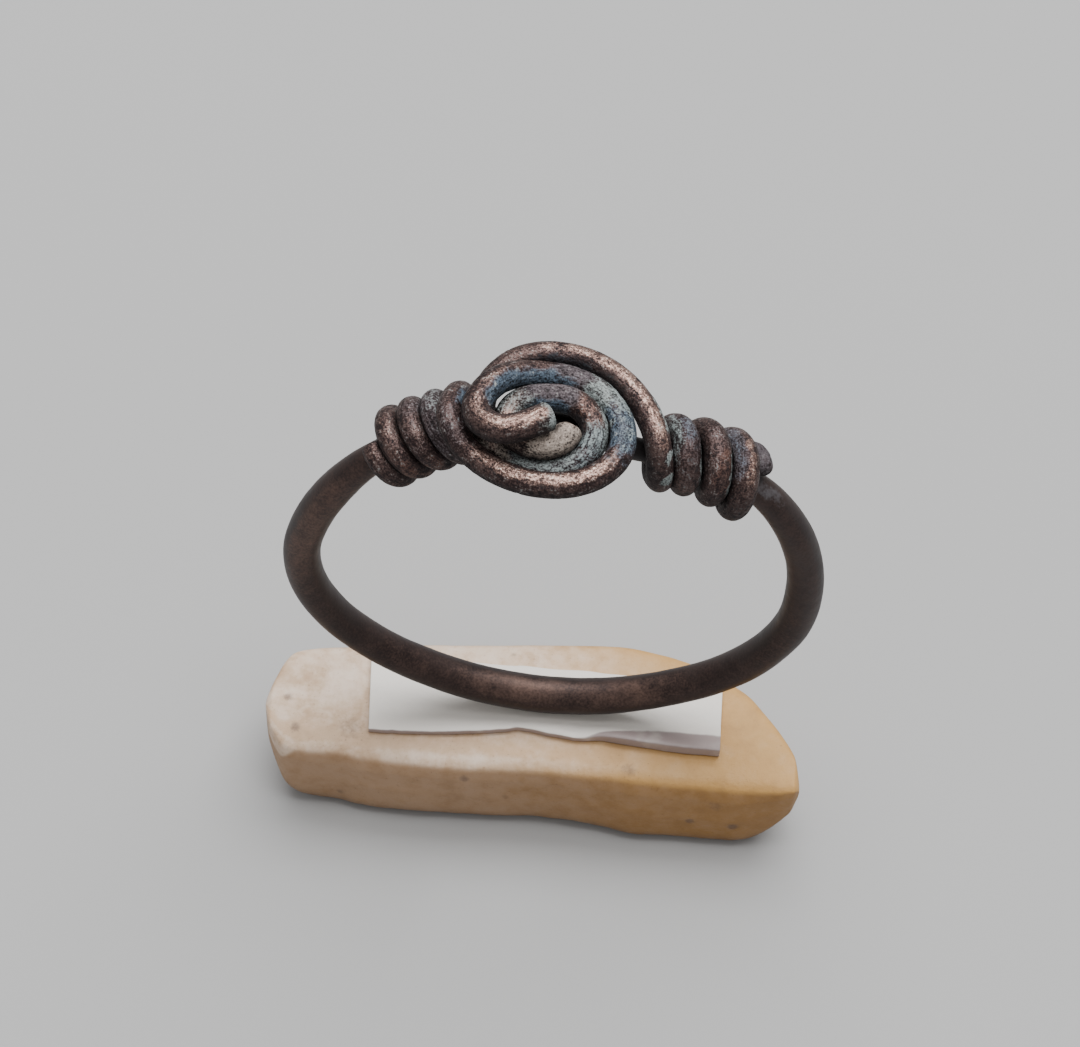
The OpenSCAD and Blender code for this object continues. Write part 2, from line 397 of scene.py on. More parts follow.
@dataclass
class Hoop:
    """The ring's thick core wire, a hoop with a few soft dents that stands on its edge."""

    radius: float = 10.0
    thickness: float = 1.5
    stations: int = 1000
    sides: int = 64
    # How far the dents and the fine grain go in or out
    dent: float = 0.022
    grain: float = 0.0035
    row_angle: float = 15.0
    # At every row_angle degrees from +X: change of radius, shift away from the viewer, change of wire radius
    rows: Array = field(default_factory=lambda: np.array([
        [-0.10, 0.00, 0.00], [-0.07, 0.00, -0.03], [0.09, 0.00, -0.075], [0.22, 0.05, -0.17],
        [0.10, 0.10, -0.28], [-0.24, -0.14, -0.3], [-0.12, 0.27, -0.22], [0.15, 0.32, -0.22],
        [0.14, 0.29, -0.22], [0.07, 0.09, -0.165], [-0.06, 0.01, -0.05], [-0.05, 0.00, -0.01],
        [0.09, 0.00, 0.00], [0.10, 0.00, 0.00], [-0.01, 0.00, 0.00], [-0.14, 0.00, 0.00],
        [-0.20, 0.00, 0.02], [-0.12, 0.00, 0.03], [-0.03, 0.00, 0.03], [0.00, 0.00, 0.02],
        [-0.03, 0.00, 0.00], [0.06, 0.00, 0.00], [0.07, 0.00, 0.00], [0.03, 0.00, 0.00]]))
    # Painted shade lies in the soot patches, under the swirl and along both edges of the side that shows; the
    # rubbed patches are wear with painted sheen
    patches: tuple[Patch, ...] = film_patches(Stretch.HOOP, {
        Film.RUBBED_AND_HIGHLIGHT: [(145, 190, -75, 66, 0.48, 25), (222, 236, -135, 60, 0.25, 12),
                      (255, 274, -158, 62, 0.75, 22), (285, 305, -150, 60, 0.5, 12),
                      (330, 350, -110, 50, 0.2, 16)],
        Film.GREY: [(40, 50, -32, 40, 1.0)],
        Film.SOOT_AND_SHADE: [(64, 112, 0, 180, 1.0)] + [
            (start, end, facing + turn, spread, strength, 20)
            for start, end, facing, spread, strength in ((-30, 46, 0, 62, 0.62), (315, 390, 0, 62, 0.62),
                                                         (150, 225, 0, 58, 0.6), (225, 315, -58, 56, 0.6))
            for turn in (0, 180)],
    })

    def __post_init__(self) -> None:
        """Works out the height of the hoop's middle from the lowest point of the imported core."""
        lowest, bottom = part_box("shank")[0].z / MM, self.rows[int(270 / self.row_angle)]
        self.middle_z = lowest + self.radius + self.thickness / 2 + bottom[0] + bottom[2]

    def row(self, angle: Array) -> Array:
        """Reads the table of dents at any angle.

        Args:
            angle: Degrees round the hoop.

        Returns:
            The three columns there, smooth from row to row and round the hoop.
        """
        place = np.asarray(angle, float) % 360 / self.row_angle
        first = np.floor(place).astype(int)
        a, b, c, d = (self.rows[(first + k) % len(self.rows)] for k in (-1, 0, 1, 2))
        return between(a, b, c, d, (place - first)[..., None])

    def wire(self, angle: Array) -> Array:
        """Gives the core's own radius at an angle."""
        return self.thickness / 2 + self.row(angle)[..., 2]

    def centre(self, angle: Array) -> Array:
        """Gives the core's centreline: a circle in the upright plane, pushed in, out or back by its dents.

        Args:
            angle: Degrees round the hoop.

        Returns:
            The points there, in millimetres.
        """
        row, turn = self.row(angle), np.radians(angle)
        away = self.radius + row[..., 0]
        return np.stack([away * np.cos(turn), row[..., 1], self.middle_z + away * np.sin(turn)], -1)

    def strand(self) -> Strand:
        """Gives the core as a bare centreline."""
        angle = np.arange(0, 360, 1.5)
        return Strand(self.centre(angle), self.wire(angle), np.radians(angle) * self.radius)

    def build(self, wound: list[Strand]) -> bpy.types.Object:
        """Sweeps the core's section round the hoop and presses soft dents into it.

        A point is centre(a) + r (cos b x outward + sin b x back), where r is the wire's radius and a
        cloudy field of about a millimetre pushes it in or out.

        Args:
            wound: The wires that lie on the core, which leave painted shade on it where they touch.

        Returns:
            The core's piece.
        """
        angle = np.arange(self.stations) * 360 / self.stations
        turn = np.radians(angle)[:, None]
        around = np.linspace(0, 2 * np.pi, self.sides, endpoint=False)
        outward = [np.cos(turn) * np.cos(around), np.sin(around) + 0 * turn, np.sin(turn) * np.cos(around)]
        normal = np.stack(outward, -1)
        rings = self.centre(angle)[:, None] + self.wire(angle)[:, None, None] * normal
        push = self.dent * (cloudy(rings, 1.6, 11) - 0.5) + self.grain * (cloudy(rings, 0.16, 12) - 0.5)
        rings = rings + 2 * push[..., None] * normal
        flat = rings.reshape(-1, 3)
        room = np.min([other.room(flat) for other in wound], axis=0).reshape(push.shape)
        facing = np.degrees(around) * np.ones_like(turn)
        masks = film_masks(self.patches, {Stretch.HOOP: angle}, facing, rings, 0.25)
        # Painted contact shade where the wound wires lie close to the core
        masks["soot_and_shade"] = np.maximum(masks["soot_and_shade"], 1 - step(room, 0.05, 0.4))
        return skin("ring_core", rings, masks, loop=True)

    def dress(self, wound: list[Strand], copper: bpy.types.Material) -> None:
        """Builds the core between the wires that lie on it and dresses it in its copper."""
        place(self.build(wound), "shank", "hoop_copper", copper)


def film_masks(patches: tuple[Patch, ...], along: dict[Stretch, Array], facing: Array, places: Array,
               waves: float = 1.0) -> dict[str, Array]:
    """Adds up the patches into one mask for each film. Cloudy fields bend the patches' borders.

    Args:
        patches: The patches of a piece.
        along: For each stretch, the angle along it at each station.
        facing: Side that each point faces, in degrees.
        places: The points themselves, in millimetres.
        waves: How far the borders bend.

    Returns:
        The masks by film, by station and by place in the ring.
    """
    bend, turn = (waves * (cloudy(places, size, seed) - 0.5) for size, seed in ((0.5, 81), (0.4, 82)))
    masks = {film.value: np.zeros_like(facing) for film in Film}
    for patch in patches:
        along_bent = along[patch.stretch][:, None] + WANDERS[patch.stretch] * bend
        cover = patch.cover(along_bent, facing + SIDE_WANDER * turn)
        masks[patch.film.value] = np.maximum(masks[patch.film.value], cover)
    return masks


@dataclass
class WoundWire:
    """A thin wire that is wound on one shoulder of the hoop and then runs into the swirl on top."""

    name: str
    node: str
    hoop: Hoop
    # Wrap angle and hoop angle of each station on the shoulder, outer end first
    wrap_angles: Array
    hoop_angles: Array
    # Hoop angle that the shoulder faces
    facing_angle: float
    wrap_thickness: Array
    # Turn about the middle, distance from it and rise, from the shoulder inwards
    swirl: Array
    # Row number and radius, straight from one to the next
    radii: tuple[tuple[float, float], ...]
    # Lengths over which the first and the last tip are rounded
    tips: tuple[float, float]
    patches: tuple[Patch, ...]
    seed: int
    # Which way round the hoop the swirl lies, 1 or -1
    towards: int
    # Between which rows, counted from the swirl's first, the ridge grows bright: rubbed copper with a painted
    # highlight
    polished_and_highlit: tuple[float, float]
    # How far the ridge of the outer strand leans away from the swirl's middle
    tilt: float = 0.0
    wrap_gap: float = 0.08
    # Degrees that the photo looks down: wrap angle 0 is the back rim that it shows
    view_tip: float = 58
    middle: tuple[float, float, float] = (-0.75, -0.35, 11.0)
    # How far the path is drawn out past its first and last row
    bevel: float = 0.12
    spacing: float = 0.045
    sides: int = 66
    # Relief: broad swelling, fine grain, depth of the pits and height of the crust
    swell: float = 0.03
    grain: float = 0.02
    pit_depth: float = 0.03
    crust_height: float = 0.04

    def __post_init__(self) -> None:
        """Works out the wire's stations once, as every later step reads them."""
        self.lay()

    def wraps(self) -> Array:
        """Places the turns on the shoulder.

        Each point is the core's centre there plus r (cos p x outward - sin p x back), where r is the
        core's radius, half the wire and the gap between them, and p is the wrap angle less the degrees
        that the photo looks down.

        Returns:
            A point for each wrap angle.
        """
        reach = self.hoop.wire(self.hoop_angles) + self.wrap_thickness / 2 + self.wrap_gap
        out, turn = math.radians(self.facing_angle), np.radians(self.wrap_angles - self.view_tip)
        ring = [math.cos(out) * np.cos(turn), -np.sin(turn), math.sin(out) * np.cos(turn)]
        return self.hoop.centre(self.hoop_angles) + reach[:, None] * np.stack(ring, -1)

    def lay(self) -> None:
        """Lays the centreline through the turns and the swirl and cuts it into even stations.

        A cubic joins the rows, its bends are eased, and another cubic joins what comes of it. The last
        column carries the row number along, so that later steps know where on the wire a station lies.
        Extra stations crowd towards the tips, which are rounded.
        """
        turn = np.radians(self.swirl[:, 0])
        x, y, z = self.middle
        top = np.stack([x + self.swirl[:, 1] * np.cos(turn), y + self.swirl[:, 1] * np.sin(turn),
                        self.hoop.middle_z + z + self.swirl[:, 2]], -1)
        rows = np.vstack([self.wraps(), top])
        rows = np.column_stack([rows, np.arange(len(rows))])
        path = smoothed(eased(smoothed(rows, 3), 2), 8)
        start, end = path[0] - path[1], path[-1] - path[-2]
        path = np.vstack([path[0] + start * self.bevel / np.linalg.norm(start[:3]), path,
                          path[-1] + end * self.bevel / np.linalg.norm(end[:3])])
        arc = np.append(0, np.cumsum(np.linalg.norm(np.diff(path[:, :3], axis=0), axis=1)))
        crowd = 1 - np.cos(np.linspace(0.16, 0.5, 8) * np.pi)
        first, last = self.tips[0] * crowd, arc[-1] - self.tips[1] * crowd[::-1]
        even = np.linspace(first[-1], last[0], int((last[0] - first[-1]) / self.spacing))
        self.arc = np.concatenate([first, even[1:-1], last])
        self.path = np.stack([np.interp(self.arc, arc, path[:, c]) for c in range(4)], -1)
        self.radius = np.interp(self.path[:, 3], *zip(*self.radii))
        self.round = np.minimum(self.tip_share(self.arc, self.tips[0]),
                                self.tip_share(arc[-1] - self.arc, self.tips[1]))

    def tip_share(self, left: Array, reach: float, power: float = 2.6) -> Array:
        """Rounds a tip: the share of the radius is (1 - (1 - t)^p)^(1/p), where t runs over the reach."""
        return (1 - (1 - np.clip(left / reach, 0, 1)) ** power) ** (1 / power)

    def strand(self) -> Strand:
        """Gives the wire as a bare centreline, with every fourth station."""
        return Strand(self.path[::4, :3], self.radius[::4], self.arc[::4])

    def away(self) -> Array:
        """Gives the level direction away from the swirl's middle at each station."""
        return unit((self.path[:, :3] - np.array([*self.middle[:2], 0])) * (1, 1, 0))

    def outward(self) -> tuple[Array, Array]:
        """Finds which ways are out and to the side for each station.

        On the shoulder these are away from the core and along it towards the swirl. On the swirl they
        are up and away from its middle, and over a few rows the one becomes the other.

        Returns:
            Unit vectors out and to the side.
        """
        turns = len(self.wrap_angles)
        angle = np.interp(self.path[:, 3], np.arange(turns), self.hoop_angles)
        tangent = np.radians(angle + self.towards * 90)
        shoulder_out = unit(self.path[:, :3] - self.hoop.centre(angle))
        shoulder_side = np.stack([np.cos(tangent), 0 * tangent, np.sin(tangent)], -1)
        share = step(self.path[:, 3], turns - 2, turns + 2)[:, None]
        out = unit(shoulder_out * (1 - share) + np.array([0, 0, 1]) * share)
        return out, unit(shoulder_side * (1 - share) + self.away() * share)

    def along(self) -> dict[Stretch, Array]:
        """Gives the angle along each stretch at every station, far off where a station isn't on it."""
        turns, place, far_off = len(self.wrap_angles), self.path[:, 3], 9999
        wraps = np.interp(place, np.arange(turns), self.wrap_angles)
        swirl = np.interp(place, turns + np.arange(len(self.swirl)), self.swirl[:, 0])
        return {Stretch.WRAPS: np.where(place < turns - 0.5, wraps, far_off),
                Stretch.SWIRL: np.where(place < turns - 0.5, far_off, swirl)}

    def masks(self, rings: Array, normal: Array, others: list[Strand]) -> dict[str, Array]:
        """Works out what lies on the wire, where it is rubbed and where it is in shade.

        The ridge is the line that faces 0.4 out + 0.8 up, a little to the front, towards the light. It is
        rubbed and carries a painted highlight where nothing lies close; painted shade joins the soot where
        two wires nearly touch.

        Args:
            rings: The wire's points by station and by place in the ring.
            normal: Their unit normals.
            others: The pieces beside this wire.

        Returns:
            The masks by name.
        """
        out, outer = self.outward()
        facing = np.degrees(np.arctan2((normal * outer[:, None]).sum(-1), (normal * out[:, None]).sum(-1)))
        masks = film_masks(self.patches, self.along(), facing, rings)
        flat, arc = rings.reshape(-1, 3), np.repeat(self.arc, self.sides)
        room = [other.room(flat) for other in others] + [self.strand().room(flat, arc)]
        room = np.min(room, axis=0).reshape(facing.shape)

        row = self.path[:, 3] - len(self.wrap_angles)
        tilt = self.tilt * step(row, -9, -5) * (1 - step(row, 6, 12))
        # The ridge faces the light: its crown is rubbed copper with a painted highlight
        ridge = unit(0.4 * out + np.array([0, -0.14, 0.8]) + tilt[:, None] * self.away())[:, None]
        towards_ridge = (normal * ridge).sum(-1)
        polish_and_highlight = 0.14 + 0.86 * step(row, *self.polished_and_highlit)[:, None]
        crown = polish_and_highlight * step(towards_ridge, 0.7, 1.03) * step(room, 0.02, 0.2)
        crown = crown * (0.4 + 0.8 * cloudy(rings, 0.9, self.seed))
        crown = crown * (1 - masks["grey"]) * (1 - masks["dull"])
        masks["rubbed_and_highlight"] = np.clip(crown + masks["rubbed_and_highlight"], 0, 1)
        # Painted contact shade: near black where two wires nearly touch, less under verdigris
        touching = (1 - step(room, 0.01, 0.14)) * (1 - 0.8 * masks["verdigris"])
        masks["soot_and_shade"] = np.maximum(masks["soot_and_shade"], touching)
        # Painted shade on the undersides, strongest below the wraps
        low = 1 - step(out[:, 2], -0.5, 0.6)[:, None]
        masks["under"] = np.maximum(1 - step(towards_ridge, -0.15, 0.82), 0.85 * low)
        return masks

    def pits(self, rings: Array, crust: Array) -> Array:
        """Scatters small and larger pits in cloudy areas.

        Args:
            rings: The wire's points.
            crust: How much crust lies on each, which fills its pits in part.

        Returns:
            How deep each point lies in a pit, from 0 to 1.
        """
        small = step(speckled(rings, 0.17, self.seed + 40, 0.7), 0.05, 0.55)
        large = step(speckled(rings, 0.34, self.seed + 45, 0.3), 0.1, 0.6)
        areas = step(cloudy(rings, 0.55, self.seed + 20), 0.36, 0.58)
        return np.maximum(small, large) * areas * (1 - 0.6 * crust)

    def build(self, others: list[Strand]) -> bpy.types.Object:
        """Sweeps the round section along the centreline and works its surface.

        A point is centre + r (cos b x side + sin b x across). Cloudy fields swell and roughen it, pits
        sink into it, and crust stands on it where verdigris or dust lies.

        Args:
            others: The pieces beside this wire.

        Returns:
            The wire's piece.
        """
        centre = self.path[:, :3]
        tangent = unit(np.gradient(centre, self.arc, axis=0))
        side = carried(tangent)
        around = np.linspace(0, 2 * np.pi, self.sides, endpoint=False)
        cosine, sine = np.cos(around), np.sin(around)
        normal = cosine[:, None] * side[:, None] + sine[:, None] * np.cross(tangent, side)[:, None]
        rings = centre[:, None] + (self.radius * self.round)[:, None, None] * normal
        masks = self.masks(rings, normal, others)
        crust = np.maximum(masks["verdigris"], 0.8 * masks["dust"])
        masks["pits"] = self.pits(rings, crust)
        masks["run"] = self.arc[:, None] + 0 * crust
        masks["side_x"], masks["side_y"] = self.radius[:, None] * cosine, self.radius[:, None] * sine
        push = self.swell * (cloudy(rings, 1.1, self.seed + 1) - 0.5)
        push = push + self.grain * (cloudy(rings, 0.16, self.seed + 2) - 0.5)
        push = push - self.pit_depth * masks["pits"]
        push = push + self.crust_height * crust * cloudy(rings, 0.14, self.seed + 3)
        rings = rings + (push * self.round[:, None] ** 2)[..., None] * normal
        return skin(self.name, rings, masks)

    def dress(self, others: list[Strand], copper: bpy.types.Material) -> None:
        """Builds the wire among the pieces beside it and dresses it in its copper."""
        place(self.build(others), self.node, "wire_copper", copper)


# The swirl's way of each wire: turn about its middle, distance from it and rise
LEFT_SWIRL = np.array([
    [156, 3.68, -0.68], [168, 3.68, -0.08], [178, 3.72, 0.15], [187, 3.66, 0.10], [198, 3.37, -0.20],
    [212, 3.00, -0.40], [235, 2.76, -0.27], [260, 2.68, -0.17], [285, 2.72, -0.15], [310, 2.88, -0.12],
    [335, 3.00, 0.00], [360, 2.77, 0.05], [385, 2.46, 0.02], [410, 2.25, 0.00], [435, 2.10, 0.05],
    [460, 2.05, 0.15], [485, 2.16, 0.43], [507, 2.28, 0.79], [525, 2.48, 0.92], [540, 2.68, 0.94],
    [552, 2.72, 0.97], [565, 2.50, 1.11], [578, 2.10, 1.19], [590, 1.40, 1.24], [605, 0.80, 1.21],
    [622, 0.55, 1.17]])

RIGHT_SWIRL = np.array([
    [-10.5, 4.35, -1.80], [-10, 4.31, -1.30], [-8.5, 4.24, -0.85], [-4, 4.11, -0.40], [9, 3.80, -0.15],
    [30, 3.50, -0.10], [52, 3.28, -0.05], [74, 3.13, 0.00], [95, 3.09, 0.00], [114, 3.07, -0.05],
    [128, 3.02, -0.20], [142, 2.90, -0.25], [158, 2.70, -0.25], [176, 2.52, -0.32], [191, 2.34, -0.62],
    [210, 2.00, -0.85], [237, 1.76, -0.84], [267, 1.70, -0.76], [295, 1.75, -0.60], [322, 1.85, -0.32],
    [345, 1.79, -0.03], [367, 1.58, 0.15], [392, 1.29, 0.26], [420, 1.01, 0.35], [453, 0.88, 0.35],
    [485, 1.03, 0.31], [508, 1.32, 0.18], [527, 1.51, 0.07], [549, 1.58, 0.06], [571, 1.50, 0.06],
    [596, 1.32, 0.08], [622, 1.15, 0.10], [648, 1.10, 0.19], [672, 1.02, 0.31], [692, 0.94, 0.43]])


def left_wire(hoop: Hoop) -> WoundWire:
    """Describes the wire of the left shoulder: outer lower strand, left bend and the hook on top.

    Args:
        hoop: The core that it is wound on.

    Returns:
        The wire, ready to build.
    """
    wrap = np.arange(80, 1401, 30)
    hoop_angle = np.interp(wrap, (80, 450, 810, 1170, 1410), (132.1, 127.1, 121.3, 115.6, 111.9))
    last = len(wrap)
    return WoundWire(
        name="left_wound_wire", node="left_wire", hoop=hoop, wrap_angles=wrap,
        hoop_angles=hoop_angle + 0.9 * np.cos(np.radians(wrap)), facing_angle=121,
        wrap_thickness=np.full(last, 0.95), swirl=LEFT_SWIRL,
        radii=((0, 0.43), (7 / 3, 0.475), (last - 1 / 3, 0.475), (last + 8 / 3, 0.5),
               (last + 44 / 3, 0.5), (last + 18, 0.555)),
        tips=(0.3, 0.14), seed=100, towards=-1, polished_and_highlit=(3.5, 6),
        # The rubbed patches are wear with painted highlight, the soot patches soot with painted shade on the
        # dark sides
        patches=film_patches(Stretch.SWIRL, {
            Film.RED: [(325, 347, -20, 60, 0.8), (455, 500, 10, 90, 0.35), (160, 200, -40, 90, 0.5)],
            Film.GREY: [(400, 455, 0, 120, 0.8), (338, 400, 70, 90, 0.6), (176, 198, -20, 110, 0.45)],
            Film.BLUE: [(425, 545, -75, 75, 0.9), (338, 380, 10, 110, 0.9), (215, 330, -110, 60, 0.6),
                        (156, 176, -75, 70, 0.95)],
            Film.VERDIGRIS: [(372, 408, -10, 130, 0.9), (612, 660, 0, 200, 1.0), (342, 372, 20, 60, 0.35)],
            Film.SOOT_AND_SHADE: [(200, 345, 120, 45, 0.6)],
            Film.DULL: [(452, 500, 0, 200, 0.75), (500, 572, 0, 200, 0.5)],
        }) + film_patches(Stretch.WRAPS, {
            Film.RUBBED_AND_HIGHLIGHT: [(80, 115, 0, 50, 0.35), (420, 455, 10, 40, 0.4), (785, 815, 15, 36, 0.3)],
            Film.RED: [(130, 190, 0, 80, 0.6), (480, 560, 0, 80, 0.7), (840, 910, 0, 70, 0.7)],
            Film.GREY: [(730, 800, 40, 90, 0.5), (1080, 1230, 0, 140, 0.55)],
            Film.VERDIGRIS: [(1090, 1140, 20, 70, 0.4)],
        }))


def right_wire(hoop: Hoop) -> WoundWire:
    """Describes the wire of the right shoulder: outer upper strand, inner loop and its curled end.

    Args:
        hoop: The core that it is wound on.

    Returns:
        The wire, ready to build.
    """
    wrap = np.arange(1500, 170, -30)
    hoop_angle = np.interp(wrap, (180, 240, 450, 560, 810, 920, 1170, 1280, 1500),
                           (68.1, 67.3, 66.3, 61.9, 59.2, 55.2, 52.0, 48.9, 46.6))
    last = len(wrap)
    return WoundWire(
        name="right_wound_wire", node="right_wire", hoop=hoop, wrap_angles=wrap,
        hoop_angles=hoop_angle + np.cos(np.radians(wrap)), facing_angle=59,
        wrap_thickness=np.interp(wrap, (180, 420, 1370, 1500), (1.03, 1.05, 1.05, 0.74)), swirl=RIGHT_SWIRL,
        radii=((0, 0.37), (4, 0.525), (last - 1 / 3, 0.525), (last + 8 / 3, 0.5), (last + 56 / 3, 0.5),
               (last + 65 / 3, 0.525), (last + 23, 0.525), (last + 76 / 3, 0.5),
               (last + 30, 0.5), (last + 98 / 3, 0.525)),
        tips=(0.35, 0.45), seed=200, towards=1, polished_and_highlit=(-6, 0), tilt=0.45,
        # The rubbed patches are wear with painted highlight, the soot patches soot with painted shade on the
        # dark sides
        patches=film_patches(Stretch.SWIRL, {
            Film.RED: [(325, 392, 0, 75, 0.6)],
            Film.GREY: [(140, 190, -65, 50, 0.6), (200, 320, 0, 150, 0.9), (395, 500, 0, 140, 0.8)],
            Film.BLUE: [(60, 150, -72, 55, 0.4), (318, 350, 40, 120, 0.7), (400, 500, -95, 75, 0.9)],
            Film.VERDIGRIS: [(-3, 18, 70, 28, 0.9, 4), (225, 318, 30, 120, 0.6), (318, 352, 30, 120, 0.6),
                             (330, 400, 95, 60, 0.8), (490, 545, 0, 150, 0.5)],
            Film.DUST: [(196, 222, 40, 120, 0.8), (550, 600, 0, 130, 0.55), (600, 690, 0, 170, 0.9)],
            Film.SOOT_AND_SHADE: [(20, 150, -90, 80, 0.85)],
            Film.DULL: [(92, 175, 0, 200, 0.7), (330, 395, 0, 200, 0.6)],
        }) + film_patches(Stretch.WRAPS, {
            Film.RUBBED_AND_HIGHLIGHT: [(800, 815, -20, 40, 0.35), (1120, 1165, 6, 28, 0.7, 20)],
            Film.RED: [(480, 520, 0, 90, 0.7), (790, 830, -15, 70, 1.0), (1180, 1215, -20, 90, 0.4)],
            Film.GREY: [(390, 470, -20, 120, 0.4), (760, 800, 30, 80, 0.35), (1080, 1165, 78, 66, 0.9),
                        (1380, 1520, 0, 180, 0.75)],
            Film.BLUE: [(370, 440, 30, 80, 0.4), (1110, 1160, 62, 34, 0.45)],
            Film.VERDIGRIS: [(370, 450, 75, 40, 0.6), (420, 500, -66, 24, 1.0), (780, 850, -66, 22, 1.0)],
            Film.SOOT_AND_SHADE: [(400, 560, 0, 150, 0.35), (1185, 1260, 0, 150, 0.5), (1400, 1520, 0, 180, 0.45)],
        }))


@dataclass
class MountingTape:
    """The strip of white tape between the slab and the hoop, its front edge torn in slow waves."""

    thickness: float = 0.35
    # Mean width over thickness
    shape: float = 9.5
    stations: int = 420
    sides: int = 160
    crease: float = 0.06
    # How far the front edge lifts on the right, and the left end slants
    curl: float = 0.3
    slant: float = 0.23
    tear: float = 0.05
    # From the left end to the right: x, front edge, back edge
    rows: Array = field(default_factory=lambda: np.array([
        [-7.45, -1.9, 1.8], [-5.9, -1.86, 1.85], [-3.8, -1.7, 1.8], [-1.7, -1.4, 1.75], [-0.9, -1.24, 1.8],
        [0.4, -1.4, 1.75], [1.7, -1.52, 1.8], [2.5, -1.4, 1.75], [3.4, -1.5, 1.75], [5.4, -1.65, 1.7],
        [7.55, -1.7, 1.7]]))

    def build(self) -> bpy.types.Object:
        """Lofts the strip's section along X.

        The section is a flat rounded box, |y|^12 + |z|^6 = 1, between the front and the back edge. A
        cloudy field creases the top, and the front edge waves and lifts a little.

        Returns:
            The tape's piece.
        """
        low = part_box("mounting_tape")[0].z / MM
        x = np.linspace(self.rows[0, 0], self.rows[-1, 0], self.stations)
        edges = smoothed(self.rows, 60)
        front, back = (np.interp(x, edges[:, 0], edges[:, c])[:, None] for c in (1, 2))
        across, high = rounded_box(1 / 6, 1 / 3, self.shape, self.sides)
        torn = self.tear * (cloudy(np.stack([x, 0 * x, 0 * x], -1), 0.35, 31)[:, None] - 0.5)
        y = (back + front) / 2 + (back - front) / 2 * across + torn * (across < 0)
        z = low + self.thickness * (0.5 + 0.5 * high) + 0 * y
        slant = self.slant * step(-x, 5.5, 7.45)[:, None] * (0.5 - 0.5 * across)
        rings = np.stack([x[:, None] + slant, y, z], -1)
        forward = step(-across, 0.1, 1.0) * step(high, -0.2, 0.6)
        curl = self.curl * step(x, 1.4, 3.6)[:, None] * (0.75 + 0.5 * cloudy(rings * (1, 0, 0), 1.4, 33))
        crease = self.crease * (cloudy(rings * (0.5, 1, 1), 0.9, 32) - 0.5) * step(high, 0, 1)
        rings[..., 2] += crease + curl * forward
        # Painted shade: grey on the torn front face and along the front of the right part, under its lifted
        # edge
        torn_side = step(0.5 * step(x, 0.2, 6.0)[:, None] - across, 0.96, 1.12)
        torn_face = step(-across, 0.93, 1) * (1 - step(high, 0.6, 0.98))
        masks = {"edge": np.maximum(torn_face, torn_side), "crease": cloudy(rings, 0.7, 34)}
        return skin("mounting_strip", rings, masks)

    def dress(self, tape: bpy.types.Material) -> None:
        """Builds the strip and dresses it in its finish."""
        place(self.build(), "mounting_tape", "tape", tape)


